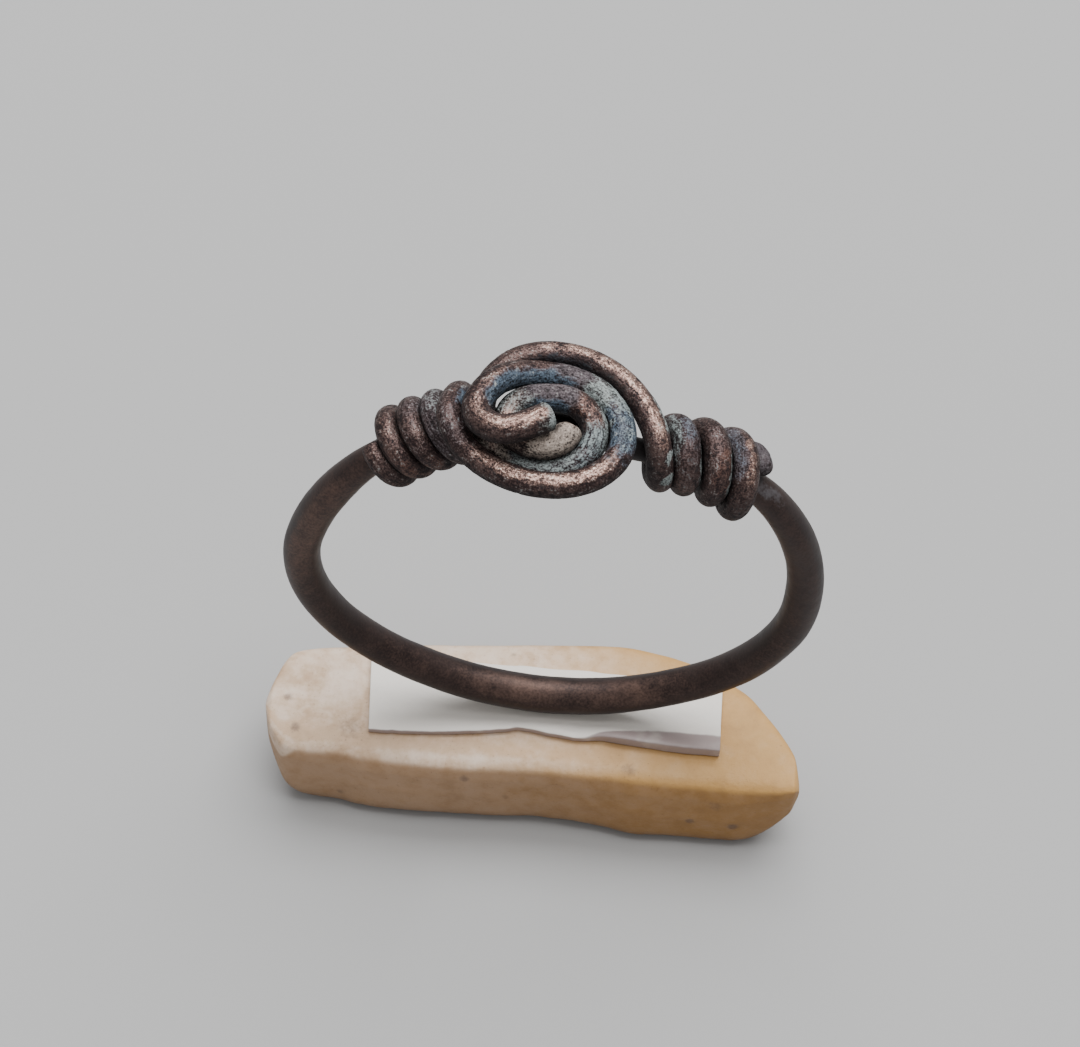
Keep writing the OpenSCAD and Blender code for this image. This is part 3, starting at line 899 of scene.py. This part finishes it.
@dataclass
class StoneStand:
    """The slab of smooth tan stone under the ring."""

    height: float = 4.4
    # Mean depth over height
    shape: float = 1.5
    stations: int = 330
    sides: int = 280
    tip: float = 0.3
    # From the left end to the right: x, front edge, back edge, height of the underside, lean of the front
    rows: Array = field(default_factory=lambda: np.array([
        [-11.7, -1.2, -0.2, 3.6, 0], [-11.45, -1.9, 0.45, 2.8, 0], [-11.1, -2.5, 1.45, 1.9, 0],
        [-10.7, -2.95, 2.05, 1.0, 0], [-10, -3.1, 2.35, 0.3, 0], [-9.2, -3.1, 2.5, 0, 0],
        [-8.3, -3.15, 2.6, 0, 0.06], [-6.9, -3.4, 2.85, 0, 0.15], [-3.5, -3.4, 3.15, 0, 0.05],
        [0, -3.25, 3.5, 0, 0.05], [2.6, -3.4, 3.7, 0, 0.2], [4.2, -3.65, 3.6, 0, 0.45],
        [6.2, -3.6, 3.15, 0, 0.4], [8.4, -3.6, 2.05, 0, 0.35], [9.4, -3.4, 1.0, 0.2, 0.15],
        [10.2, -3.25, -0.1, 1.2, 0], [10.75, -3.1, -1.1, 2.2, 0], [11.05, -2.95, -2.3, 3.0, 0]]))
    # Section from the underside up: share of the height, inset of front and back, share of the lean
    section: Array = field(default_factory=lambda: np.array([
        [0, 0.2, 0], [0.05, 0.1, 0], [0.18, 0.02, 0], [0.5, 0, 0.2], [0.8, 0.06, 0.6], [0.94, 0.16, 0.9],
        [1, 0.32, 1]]))
    # Marks in the stone: x, y, z, reach, strength
    marks: Array = field(default_factory=lambda: np.array([
        [-10.77, -0.5, 4.4, 0.34, 0.7], [-10.32, -1.91, 4.4, 0.36, 0.8], [-5.09, -2.85, 4.4, 0.24, 0.45],
        [-3.06, -3.33, 3.64, 0.34, 0.8], [-8.3, -3.15, 1.26, 0.32, 0.7], [8.45, -3.55, 1.8, 0.4, 1.0],
        [6.6, -3.55, 2.0, 0.36, 0.8], [-1.28, -3.3, 2.33, 0.3, 0.5], [-8.02, -1.74, 4.4, 0.9, 0.45],
        [3.8, -2.6, 4.4, 0.6, 0.5], [7.6, -3.35, 3.2, 0.5, 0.5], [-1.55, 3.15, 4.4, 0.22, 0.7],
        [-1.5, 2.85, 4.4, 0.22, 0.7], [-1.42, 2.5, 4.4, 0.2, 0.6]]))

    def masks(self, rings: Array, across: Array, share: Array) -> dict[str, Array]:
        """Works out where the stone's tone changes.

        Args:
            rings: The slab's points by station and by place in the section.
            across: The section's places from front to back, -1 to 1.
            share: Its places from the underside up, 0 to 1.

        Returns:
            The masks of its marks, side, foot, front lip and ochre right part. The side is painted browner
            and darker, partly stain and partly painted shade; the foot is painted shade near the underside.
        """
        x, share = rings[..., 0], share + 0 * rings[..., 0]
        left = 1 - step(x, -11.3, -10.1)
        marks = [step(1 - np.linalg.norm(rings - spot, axis=-1) / reach, 0, 0.8) * strength
                 for *spot, reach, strength in self.marks]
        return {"speck": np.max(marks, axis=0),
                # Side: brown stain with painted shade; foot: painted shade low down
                "side": 1 - step(share + 0.35 * left, 0.87, 1.0),
                "foot_shade": 1 - step(share, 0.0, 0.4),
                "lip": step(share, 0.98, 1.0) * (across < 0) * step(-across, 0.35, 0.9),
                "right": step(x + 6 * (cloudy(rings, 3.0, 54) - 0.5), -4.0, 7.0)}

    def build(self) -> bpy.types.Object:
        """Lofts the slab's section along X and weathers it.

        The section is a rounded box, |across|^9 + |high|^9 = 1, that loses the inset of its table, and
        its front also the lean. Both ends are rounded over the tip's reach, and cloudy fields wear the
        sides and the lower edge.

        Returns:
            The slab's piece.
        """
        outline = smoothed(self.rows, 40)
        ease = 0.5 - 0.5 * np.cos(np.linspace(0, np.pi, self.stations))
        x = outline[0, 0] + (outline[-1, 0] - outline[0, 0]) * ease
        front, back, under, lean = (np.interp(x, outline[:, 0], column)[:, None] for column in outline.T[1:])
        under, lean = np.maximum(under, 0), np.maximum(lean, 0)
        end = np.clip(np.minimum(x - x[0], x[-1] - x) / self.tip, 0.004, 1)[:, None]
        end = np.sqrt(1 - (1 - end) ** 2)
        half, middle = (back - front) / 2, (back + front) / 2
        across, high = rounded_box(2 / 9, 2 / 9, self.shape, self.sides)
        share = (high + 1) / 2
        inset, lean_share = (np.interp(share, self.section[:, 0], column) for column in self.section.T[1:])
        inset = inset * np.minimum(1, half / 1.2) + lean * lean_share * (across < 0)
        y = middle + (half - inset) * across * end
        z = under + (self.height - under) * (0.5 + 0.5 * high * end)
        rings = np.stack([x[:, None] + 0 * y, y, z], -1)
        worn = 0.09 * (cloudy(rings, 1.7, 52) - 0.5)
        worn = worn + 0.16 * (cloudy(rings, 0.9, 53) - 0.5) * (1 - share) ** 3
        rings[..., 1] += worn * across
        return skin("stone_slab", rings, self.masks(rings, across, share))

    def dress(self, stone: bpy.types.Material) -> None:
        """Builds the slab and dresses it in its finish."""
        place(self.build(), "stone_stand", "stone", stone)


class Value:
    """A number in a shader. Arithmetic on it adds Math nodes."""

    def __init__(self, paint: "Paint", socket: bpy.types.NodeSocket) -> None:
        """Holds the socket that gives the number."""
        self.paint, self.socket = paint, socket

    def maths(self, operation: str, first: Number, second: Number = 0.0) -> "Value":
        """Adds a Math node.

        Args:
            operation: The node's operation.
            first: Its first number.
            second: Its second number.

        Returns:
            The node's result.
        """
        return self.paint.node("ShaderNodeMath", {"operation": operation}, {0: first, 1: second})

    def __add__(self, other: Number) -> "Value":
        """Adds."""
        return self.maths("ADD", self, other)

    __radd__ = __add__

    def __sub__(self, other: Number) -> "Value":
        """Subtracts."""
        return self.maths("SUBTRACT", self, other)

    def __rsub__(self, other: Number) -> "Value":
        """Subtracts from a plain number."""
        return self.maths("SUBTRACT", other, self)

    def __mul__(self, other: Number) -> "Value":
        """Multiplies."""
        return self.maths("MULTIPLY", self, other)

    __rmul__ = __mul__

    def most(self, other: Number) -> "Value":
        """Takes the larger of two numbers."""
        return self.maths("MAXIMUM", self, other)

    def step(self, low: float, high: float) -> "Value":
        """Rises smoothly from 0 at low to 1 at high."""
        return self.paint.node("ShaderNodeMapRange", {"interpolation_type": "SMOOTHSTEP"},
                               {"Value": self, "From Min": low, "From Max": high})


class Paint:
    """A material under construction."""

    def __init__(self, name: str) -> None:
        """Starts an empty node tree.

        Args:
            name: The material's name.
        """
        self.material = bpy.data.materials.new(name)
        self.material.use_nodes = True
        self.tree = self.material.node_tree
        self.tree.nodes.clear()

    def node(self, kind: str, settings: dict | None = None, inputs: dict | None = None,
             output: int | str = 0) -> Value:
        """Adds any node.

        Args:
            kind: The node's type.
            settings: Its properties, which are set first.
            inputs: A number, colour or link for each socket, by name or by number.
            output: The output that is wanted.

        Returns:
            That output.
        """
        made = self.tree.nodes.new(kind)
        for name, value in (settings or {}).items():
            setattr(made, name, value)
        for key, value in (inputs or {}).items():
            if isinstance(value, Value):
                self.tree.links.new(value.socket, made.inputs[key])
            else:
                made.inputs[key].default_value = value
        return Value(self, made.outputs[output] if made.outputs else None)

    def mask(self, name: str) -> Value:
        """Reads a mask of the mesh."""
        return self.node("ShaderNodeAttribute", {"attribute_name": name}, output="Fac")

    def place(self) -> Value:
        """Reads the place on the object in millimetres."""
        spot = self.node("ShaderNodeTexCoord", output="Object")
        return self.node("ShaderNodeMapping", inputs={"Vector": spot, "Scale": [1 / MM] * 3})

    def cloud(self, size: float, detail: float = 3, spot: Value | None = None) -> Value:
        """Adds a cloudy field from 0 to 1.

        Args:
            size: Size of its clouds in millimetres.
            detail: How many finer sizes are added.
            spot: The place that it reads, if not the one on the object.

        Returns:
            The field.
        """
        inputs = {"Vector": spot or self.place(), "Scale": 1 / size, "Detail": detail, "Roughness": 0.6}
        return self.node("ShaderNodeTexNoise", {"noise_dimensions": "3D"}, inputs)

    def drawn(self, size: float) -> Value:
        """Adds streaks that run along a wire, four times as long as wide, from the mesh's own coordinates."""
        parts = {0: self.mask("run") * 0.25, 1: self.mask("side_x"), 2: self.mask("side_y")}
        return self.cloud(size, 1, self.node("ShaderNodeCombineXYZ", inputs=parts))

    def mix(self, share: Number, first: "Colour | Value", second: "Colour | Value") -> Value:
        """Mixes two colours.

        Args:
            share: Share of the second.
            first: The first colour.
            second: The second colour.

        Returns:
            The mixed colour.
        """
        return self.node("ShaderNodeMix", {"data_type": "RGBA"}, {0: share, 6: first, 7: second}, 2)

    def blend(self, share: Number, first: Number, second: Number) -> Value:
        """Mixes two numbers: first + share x (second - first)."""
        return self.node("ShaderNodeMix", {"data_type": "FLOAT"}, {0: share, 2: first, 3: second})

    def bump(self, height: Value, depth: float, under: Value | None = None) -> Value:
        """Adds low relief.

        Args:
            height: The relief from 0 to 1.
            depth: Its full height in millimetres.
            under: Relief that it lies on.

        Returns:
            The bent normal.
        """
        inputs = {"Strength": 1.0, "Distance": depth * MM, "Height": height}
        if under is not None:
            inputs["Normal"] = under
        return self.node("ShaderNodeBump", inputs=inputs)

    def finish(self, sockets: dict) -> bpy.types.Material:
        """Ends the material in one shader.

        Args:
            sockets: The shader's sockets.

        Returns:
            The finished material.
        """
        shader = self.node("ShaderNodeBsdfPrincipled", inputs=sockets)
        self.node("ShaderNodeOutputMaterial", inputs={"Surface": shader})
        return self.material


def paint_colour(red: int, green: int, blue: int) -> Colour:
    """Turns a screen colour of 0 to 255 into the linear one that shaders take."""
    return (*(((value / 255 + 0.055) / 1.055) ** 2.4 for value in (red, green, blue)), 1.0)


def paint_dim(colour: Colour, share: float) -> Colour:
    """Darkens a colour to a share of its light."""
    return (*(share * value for value in colour[:3]), 1.0)


@dataclass(frozen=True)
class AgedCopper:
    """Copper gone dark brown, rubbed bright on its ridges with a painted highlight, full of pits, with films
    in its hollows and painted shade below.
    """

    oxide: Colour = paint_colour(50, 39, 39)
    oxide_light: Colour = paint_colour(98, 80, 76)
    # Ridge tones: worn copper rising to bright and glint, which are rubbed copper with a painted highlight
    worn: Colour = paint_colour(120, 96, 88)
    bright: Colour = paint_colour(182, 152, 139)
    glint: Colour = paint_colour(240, 218, 202)
    red: Colour = paint_colour(122, 90, 79)
    # Near black: soot, and painted shade on undersides and where wires touch
    soot_and_shade: Colour = paint_colour(18, 16, 19)
    # Films in the order in which they are laid: mask, colour, greatest cover, contrast
    films: tuple[tuple[str, Colour, float, float], ...] = (
        ("grey", paint_colour(98, 93, 99), 0.7, 1.8),
        ("blue", paint_colour(76, 94, 110), 0.85, 2.2),
        ("dust", paint_colour(172, 159, 148), 0.92, 1.0),
        ("verdigris", paint_colour(138, 147, 146), 0.88, 2.1))

    def material(self) -> bpy.types.Material:
        """Lays the films over the metal one by one, each with a broken border.

        Where a film lies is its mask plus some of the fine relief and of the mottling, taken as a
        smooth step.

        Returns:
            The material.
        """
        paint = Paint("patinated copper of the wires")
        grain, speck, middling, broad = (paint.cloud(size, 1) for size in (0.07, 0.12, 0.36, 1.6))
        relief = (grain - 0.5) * 1.0 + (speck - 0.5) * 0.4 + (paint.drawn(0.1) - 0.5) * 0.7
        mottle, under, ridge = middling - 0.5, paint.mask("under"), paint.mask("rubbed_and_highlight")

        # The under mask is painted shade: it darkens the undersides here and below
        shade = (relief * 1.6 + (broad - 0.5) * 0.8 + mottle * 0.8 + 0.5).step(0.1, 0.9)
        colour = paint.mix(shade * (1 - under * 0.6), self.oxide, self.oxide_light)
        red = (paint.mask("red") + relief * 1.2 + mottle * 1.2).step(0.35, 1.0)
        colour = paint.mix(red * 0.75, colour, self.red)
        # Painted highlight together with rubbed copper along the lit ridge, with glints
        rubbed_and_highlight = (ridge * 1.2 + relief * 1.4 + mottle * 0.8).step(0.1, 1.0)
        polish_and_highlight = (ridge * 0.6 + relief * 1.8 + mottle * 0.8).step(0.25, 0.95)
        colour = paint.mix(rubbed_and_highlight * ridge.step(0.0, 0.4), colour, paint.mix(polish_and_highlight, self.worn, self.bright))
        colour = paint.mix((ridge * 0.4 + relief * 1.7).step(0.58, 0.9), colour, self.glint)

        # Painted shade: soot, contact shade and the undersides go near black
        dark = (paint.mask("soot_and_shade") + relief * 0.9).step(0.3, 0.95).most(under * 0.72)
        hollows = (0.0 - relief * 1.6 - mottle * 0.6).step(0.18, 0.5)
        pits = (paint.mask("pits") * 0.9).most(hollows * 0.85)
        dull = dark.most(pits)
        for name, tint, cover, contrast in self.films:
            share = (paint.mask(name) * 1.15 + relief * 1.2 + mottle * 0.9).step(0.15, 1.0) * cover
            tones = (relief * contrast + 0.5).step(0.0, 1.0)
            colour = paint.mix(share, colour, paint.mix(tones, paint_dim(tint, 0.3), paint_dim(tint, 1.2)))
            dull = dull.most(share)
        colour = paint.mix(dark * 0.88, colour, self.soot_and_shade)
        colour = paint.mix(pits * 0.85, colour, self.soot_and_shade)
        rough = paint.blend(dull, paint.blend(rubbed_and_highlight, 0.52, 0.4) + relief * 0.25, 0.8)
        normal = paint.bump(grain, 0.02, paint.bump(speck, 0.035, paint.bump(middling, 0.02)))
        return paint.finish({"Base Color": colour, "Roughness": rough, "Normal": normal,
                             "Metallic": paint.blend(dull, 0.8, 0.0), "Specular IOR Level": 0.25})


@dataclass(frozen=True)
class SatinCopper:
    """The core's smooth copper: dark brown, satin, with soft warm patches of rubbed copper and painted sheen,
    and painted shade.
    """

    oxide: Colour = paint_colour(44, 35, 34)
    oxide_light: Colour = paint_colour(68, 54, 50)
    # Warm tone of rubbed copper and painted sheen
    warm: Colour = paint_colour(128, 101, 89)
    grey: Colour = paint_colour(104, 102, 106)
    # Near black, for painted shade and dark flecks
    soot_and_shade: Colour = paint_colour(26, 24, 26)

    def material(self) -> bpy.types.Material:
        """Mixes the tones softly by cloud and mask.

        Returns:
            The material.
        """
        paint = Paint("satin copper of the core")
        grain, middling, broad = paint.cloud(0.1, 3), paint.cloud(0.7, 4), paint.cloud(2.6, 3)
        fleck, mottle = grain - 0.5, middling - 0.5
        soft = broad * 0.3 + middling * 0.3 + grain * 0.4
        colour = paint.mix(soft.step(0.34, 0.66), self.oxide, self.oxide_light)
        # Warm patches: rubbed copper and painted sheen on the side that faces the light
        warm = (paint.mask("rubbed_and_highlight") + mottle * 0.5 + fleck * 0.7).step(0.05, 1.1)
        colour = paint.mix(warm * 0.8, colour, self.warm)
        grey = (paint.mask("grey") + mottle * 1.0 + fleck * 1.2).step(0.3, 1.1)
        colour = paint.mix(grey * 0.7, colour, self.grey)
        # Painted shade under the swirl, along the edges and where wires touch, plus dark flecks
        dark = (paint.mask("soot_and_shade") + mottle * 0.4 + fleck * 0.3).step(0.15, 1.0)
        colour = paint.mix(dark.most(grain.step(0.66, 0.76) * 0.5) * 0.85, colour, self.soot_and_shade)
        rough = 0.5 + mottle * 0.25 + fleck * 0.1
        normal = paint.bump(grain, 0.004, paint.bump(middling, 0.012))
        return paint.finish({"Base Color": colour, "Roughness": rough, "Normal": normal,
                             "Metallic": paint.blend(dark, 0.5, 0.0), "Specular IOR Level": 0.25})


@dataclass(frozen=True)
class WhiteTape:
    """White tape, slightly glossy, greyer in its creases, and grey at its torn front edge as painted shade.
    """

    white: Colour = paint_colour(228, 222, 214)
    # Grey of the creases, and painted shade at the torn front edge
    grey: Colour = paint_colour(156, 141, 138)

    def material(self) -> bpy.types.Material:
        """Mixes the two tones by crease and edge.

        Returns:
            The material.
        """
        paint = Paint("white tape")
        fine, broad = paint.cloud(0.12, 3), paint.cloud(1.2, 3)
        # The edge mask brings painted shade to the front edge
        worn = (paint.mask("edge") * 0.7 + paint.mask("crease") * 0.4 + (broad - 0.5) * 0.5).step(0.45, 0.9)
        colour = paint.mix(worn, self.white, self.grey)
        normal = paint.bump(fine, 0.006, paint.bump(broad, 0.05))
        return paint.finish({"Base Color": colour, "Roughness": 0.42 + (fine - 0.5) * 0.2, "Normal": normal,
                             "Specular IOR Level": 0.5})


@dataclass(frozen=True)
class TanStone:
    """Smooth tan stone, pale on the left and ochre on the right, with dark specks; its sides are browner,
    partly stain and partly painted shade, and its foot is painted shade.
    """

    pale: Colour = paint_colour(220, 200, 182)
    tan: Colour = paint_colour(198, 168, 138)
    ochre: Colour = paint_colour(190, 147, 88)
    yellow: Colour = paint_colour(190, 146, 84)
    # Side tones: brown stain together with painted shade
    brown: Colour = paint_colour(168, 136, 106)
    amber: Colour = paint_colour(152, 112, 62)
    # Painted shade at the foot; the same tone gives the random blotches
    foot_shade: Colour = paint_colour(112, 82, 60)
    speck: Colour = paint_colour(94, 73, 60)

    def material(self) -> bpy.types.Material:
        """Mixes the tones by place, cloud and speck.

        Returns:
            The material.
        """
        paint = Paint("tan stone")
        fine, middling, broad = paint.cloud(0.2, 4), paint.cloud(0.8, 4), paint.cloud(4.0, 3)
        mottle, right = middling - 0.5, paint.mask("right")
        stain = (broad * 0.5 + middling * 0.5 + paint.mask("lip") * 0.2).step(0.36, 0.64)
        top = paint.mix(right + mottle * 0.3, paint.mix(stain, self.pale, self.tan), self.ochre)
        # The sides are browner and darker than the top: stain together with painted shade
        side = paint.mix(right * 0.8 + stain * 0.2 + mottle * 0.6, self.brown, self.amber)
        low = paint.mask("side") + mottle * 0.08
        colour = paint.mix(low.step(0.05, 0.95), top, side)
        edge = low.step(0.0, 0.35) * (1.0 - low.step(0.5, 1.0))
        colour = paint.mix(edge * right * 0.7, colour, self.yellow)
        # Painted shade near the underside, mixed with random blotches in the same tone
        foot_shade = (paint.mask("foot_shade") + mottle * 0.5).step(0.1, 1.2) * 0.65
        blotch = (middling * 0.6 + broad * 0.4).step(0.46, 0.72) * 0.22
        colour = paint.mix(foot_shade.most(blotch), colour, self.foot_shade)
        grains = paint.cloud(0.1, 2).step(0.66, 0.74) * 0.35
        colour = paint.mix(grains, colour, self.speck)
        spot = (paint.mask("speck") + (fine - 0.5) * 0.8).step(0.1, 1.0)
        colour = paint.mix(spot * 0.7, colour, self.speck)
        normal = paint.bump(fine, 0.01, paint.bump(middling, 0.05))
        return paint.finish({"Base Color": colour, "Roughness": 0.55 + mottle * 0.25, "Normal": normal,
                             "Specular IOR Level": 0.4})


@dataclass
class PhotoCamera:
    """The camera where the photograph was taken from, as fitted to the hoop's outline."""

    image: tuple[int, int] = (1080, 1047)
    hoop_middle: tuple[float, float] = (555.43, 570.85)
    focal_pixels: float = 3528.2
    distance: float = 140.0
    elevation: float = 57.726
    roll: float = 4.77
    sensor: float = 36.0
    # Nearest and farthest that it sees, in metres
    clip: tuple[float, float] = (0.01, 20)

    def build(self, hoop: Hoop) -> None:
        """Places the camera so that the hoop's middle falls on its pixel.

        Args:
            hoop: The hoop that the camera looks at.
        """
        tip, lean = math.radians(self.elevation), math.radians(self.roll)
        back = Vector((0, -math.cos(tip), math.sin(tip)))
        level, upright = Vector((1, 0, 0)), Vector((0, math.sin(tip), math.cos(tip)))
        right = level * math.cos(lean) + upright * math.sin(lean)
        up = upright * math.cos(lean) - level * math.sin(lean)
        scale = self.distance / self.focal_pixels
        shift_x = (self.hoop_middle[0] - self.image[0] / 2) * scale
        shift_y = (self.image[1] / 2 - self.hoop_middle[1]) * scale
        spot = Vector((0, 0, hoop.middle_z)) - right * shift_x - up * shift_y + back * self.distance
        data = bpy.data.cameras.new("photo_camera")
        data.sensor_width, data.sensor_fit = self.sensor, "HORIZONTAL"
        data.lens = self.focal_pixels * self.sensor / self.image[0]
        data.clip_start, data.clip_end = self.clip
        camera = bpy.data.objects.new("photo_camera", data)
        turned = Matrix((right, up, back)).transposed().to_4x4()
        camera.matrix_world = Matrix.Translation(spot * MM) @ turned
        bpy.context.scene.collection.objects.link(camera)
        bpy.context.scene.camera = camera


@dataclass
class Studio:
    """A plain pale floor under soft studio light."""

    floor_size: float = 3000.0
    floor_tone: float = 0.405
    # Light of the sky at the horizon and overhead, and how high it is full
    sky_tones: tuple[float, float] = (0.3, 0.66)
    sky_full: float = 0.9
    key_power: float = 10.5
    key_size: float = 700.0
    # Where the soft box hangs, in millimetres from the ring
    key_place: tuple[float, float, float] = (60.0, 230.0, 690.0)

    def build(self, hoop: Hoop) -> None:
        """Lays the floor, lights the sky and hangs the soft box.

        Args:
            hoop: The hoop that the light is aimed at.
        """
        half = self.floor_size / 2
        corners = np.array([[-half, -half, 0], [half, -half, 0], [half, half, 0], [-half, half, 0]])
        floor = write_piece("floor", corners, [np.array([[0, 1, 2, 3]])], {})
        sockets = {"Base Color": (self.floor_tone,) * 3 + (1.0,), "Roughness": 0.9, "Specular IOR Level": 0.2}
        floor.data.materials.append(Paint("pale floor").finish(sockets))
        world = bpy.data.worlds.new("soft_sky")
        world.use_nodes = True
        nodes, links = world.node_tree.nodes, world.node_tree.links
        ways, split, rise = (nodes.new(kind) for kind in (
            "ShaderNodeTexCoord", "ShaderNodeSeparateXYZ", "ShaderNodeMapRange"))
        rise.inputs["From Min"].default_value, rise.inputs["From Max"].default_value = 0.0, self.sky_full
        rise.inputs["To Min"].default_value, rise.inputs["To Max"].default_value = self.sky_tones
        links.new(ways.outputs["Generated"], split.inputs[0])
        links.new(split.outputs["Z"], rise.inputs["Value"])
        links.new(rise.outputs[0], nodes["Background"].inputs["Strength"])
        nodes["Background"].inputs["Color"].default_value = (1, 1, 1, 1)
        bpy.context.scene.world = world
        light = bpy.data.lights.new("soft_box", "AREA")
        light.size, light.energy = self.key_size * MM, self.key_power
        lamp = bpy.data.objects.new("soft_box", light)
        spot = Vector(self.key_place)
        lamp.matrix_world = Matrix.Translation((spot + Vector((0, 0, hoop.middle_z))) * MM) @ (
            spot.to_track_quat("Z", "Y").to_matrix().to_4x4())
        bpy.context.scene.collection.objects.link(lamp)


def place(piece: bpy.types.Object, node: str, slot: str, material: bpy.types.Material) -> None:
    """Dresses a piece and lets it stand for its CAD node.

    Args:
        piece: The finished piece.
        node: The node that it replaces.
        slot: The name of a material slot; not used.
        material: Its material.
    """
    piece.data.materials.append(material)
    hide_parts(node)
    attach(piece, "root")
    log.info("%s stands for %s with %d faces", piece.name, node, len(piece.data.polygons))


def main() -> None:
    """Builds the camera, the studio and every piece in order."""
    logging.basicConfig(level=logging.INFO, format="%(message)s")
    hoop = Hoop()
    PhotoCamera().build(hoop)
    Studio().build(hoop)
    left, right = left_wire(hoop), right_wire(hoop)
    core, left_run, right_run = hoop.strand(), left.strand(), right.strand()
    hoop_copper, wire_copper = SatinCopper().material(), AgedCopper().material()
    hoop.dress([left_run, right_run], hoop_copper)
    left.dress([core, right_run], wire_copper)
    right.dress([core, left_run], wire_copper)
    MountingTape().dress(WhiteTape().material())
    StoneStand().dress(TanStone().material())


if __name__ == "__main__":
    main()
